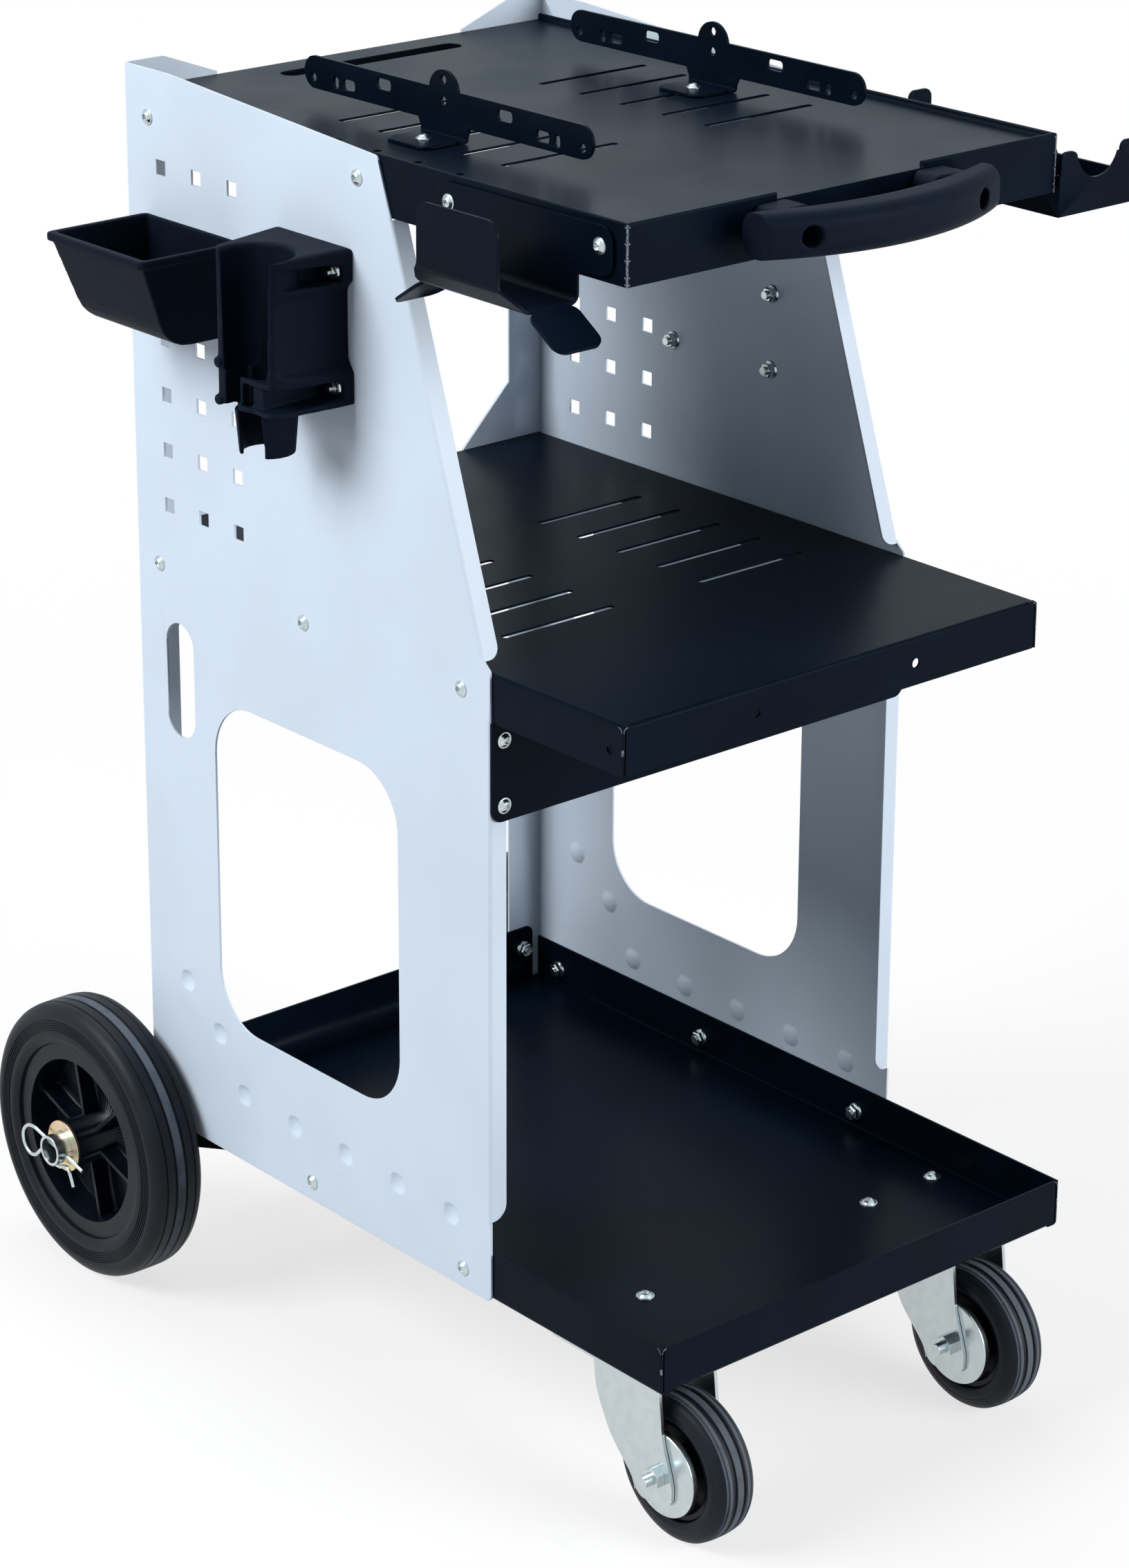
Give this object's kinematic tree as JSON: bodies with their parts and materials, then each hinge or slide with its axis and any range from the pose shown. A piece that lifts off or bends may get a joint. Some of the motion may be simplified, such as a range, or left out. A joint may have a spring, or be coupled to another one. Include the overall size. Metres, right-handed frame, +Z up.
{
  "type": "welding trolley",
  "caption": "Welding trolley with a slotted top shelf, middle shelf and bottom tray between folded side panels, on large rear wheels and swivel castors, with torch holder and bin.",
  "frame": {"origin": "on the floor, under the middle of the trolley's outer box", "axes": "+Z up, +Y to the rear wheels, +X to the trolley's right side seen from behind"},
  "size_m": [0.5113, 0.6844, 0.8928],
  "materials": {
    "panel_paint": "satin powder coat",
    "black_paint": "satin powder coat",
    "black_moulding": "moulded, fine grain",
    "rim_moulding": "moulded, half gloss",
    "zinc": "bright zinc plate",
    "yellow_zinc": "yellow zinc plate",
    "rubber": "moulded rubber"
  },
  "bodies": {
    "trolley": {"left_side_panel": "panel_paint", "right_side_panel": "panel_paint", "top_shelf": "black_paint", "middle_shelf": "black_paint", "bottom_tray": "black_paint", "apron_plate": "black_paint", "panel_screws": "zinc", "panel_nuts": "zinc", "apron_screws": "zinc", "apron_nuts": "zinc", "tray_rear_screws": "zinc", "tray_rear_nuts": "zinc", "accessory_screws": "zinc", "accessory_nuts": "zinc", "bow_handle": "black_moulding", "handle_screws": "zinc", "handle_nuts": "zinc", "torch_holder": "black_moulding", "torch_holder_screws": "zinc", "torch_holder_nuts": "zinc", "accessory_bin": "black_moulding", "hose_saddle": "black_paint", "saddle_screws": "zinc", "saddle_nuts": "zinc", "cable_bracket": "black_paint", "cable_bracket_screws": "zinc", "cable_bracket_nuts": "zinc", "cable_wall_screw": "zinc", "cable_wall_nut": "zinc", "axle_tube": "zinc", "axle_carrier": "black_paint", "axle_spacers": "zinc", "axle_washers": "yellow_zinc", "axle_clips": "zinc", "castor_plates": "zinc", "castor_king_pins": "zinc", "castor_screws": "zinc", "castor_nuts": "zinc"},
    "left_bracket": {"left_support_bracket": "black_paint", "left_support_screw": "zinc", "left_support_nut": "zinc"},
    "right_bracket": {"right_support_bracket": "black_paint", "right_support_screw": "zinc", "right_support_nut": "zinc"},
    "left_rear_wheel": {"left_rear_tyre": "rubber", "left_rear_rim": "rim_moulding"},
    "right_rear_wheel": {"right_rear_tyre": "rubber", "right_rear_rim": "rim_moulding"},
    "left_castor_swivel": {"left_castor_fork": "zinc", "left_castor_axle": "zinc", "left_castor_guards": "zinc"},
    "left_castor_wheel": {"left_castor_tyre": "rubber", "left_castor_rim": "rim_moulding"},
    "right_castor_swivel": {"right_castor_fork": "zinc", "right_castor_axle": "zinc", "right_castor_guards": "zinc"},
    "right_castor_wheel": {"right_castor_tyre": "rubber", "right_castor_rim": "rim_moulding"}
  },
  "joints": [
    {"name": "left_rear_wheel_spin", "type": "hinge", "parent": "trolley", "child": "left_rear_wheel", "pos_m": [-0.20186, 0.24225, 0.1], "axis": [1, 0, 0], "continuous": true},
    {"name": "left_castor_swivel_turn", "type": "hinge", "parent": "trolley", "child": "left_castor_swivel", "pos_m": [-0.12865, -0.25875, 0.115], "axis": [0, 0, 1], "continuous": true},
    {"name": "left_castor_wheel_roll", "type": "hinge", "parent": "left_castor_swivel", "child": "left_castor_wheel", "pos_m": [-0.12865, -0.29225, 0.05], "axis": [1, 0, 0], "continuous": true},
    {"name": "right_rear_wheel_spin", "type": "hinge", "parent": "trolley", "child": "right_rear_wheel", "pos_m": [0.20455, 0.24225, 0.1], "axis": [1, 0, 0], "continuous": true},
    {"name": "right_castor_swivel_turn", "type": "hinge", "parent": "trolley", "child": "right_castor_swivel", "pos_m": [0.13134, -0.25875, 0.115], "axis": [0, 0, 1], "continuous": true},
    {"name": "right_castor_wheel_roll", "type": "hinge", "parent": "right_castor_swivel", "child": "right_castor_wheel", "pos_m": [0.13134, -0.29225, 0.05], "axis": [1, 0, 0], "continuous": true},
    {"name": "left_bracket_slide", "type": "slide", "parent": "trolley", "child": "left_bracket", "axis": [1, 0, 0], "range_m": [0, 0.085]},
    {"name": "right_bracket_slide", "type": "slide", "parent": "trolley", "child": "right_bracket", "axis": [1, 0, 0], "range_m": [-0.059, 0.026]}
  ]
}
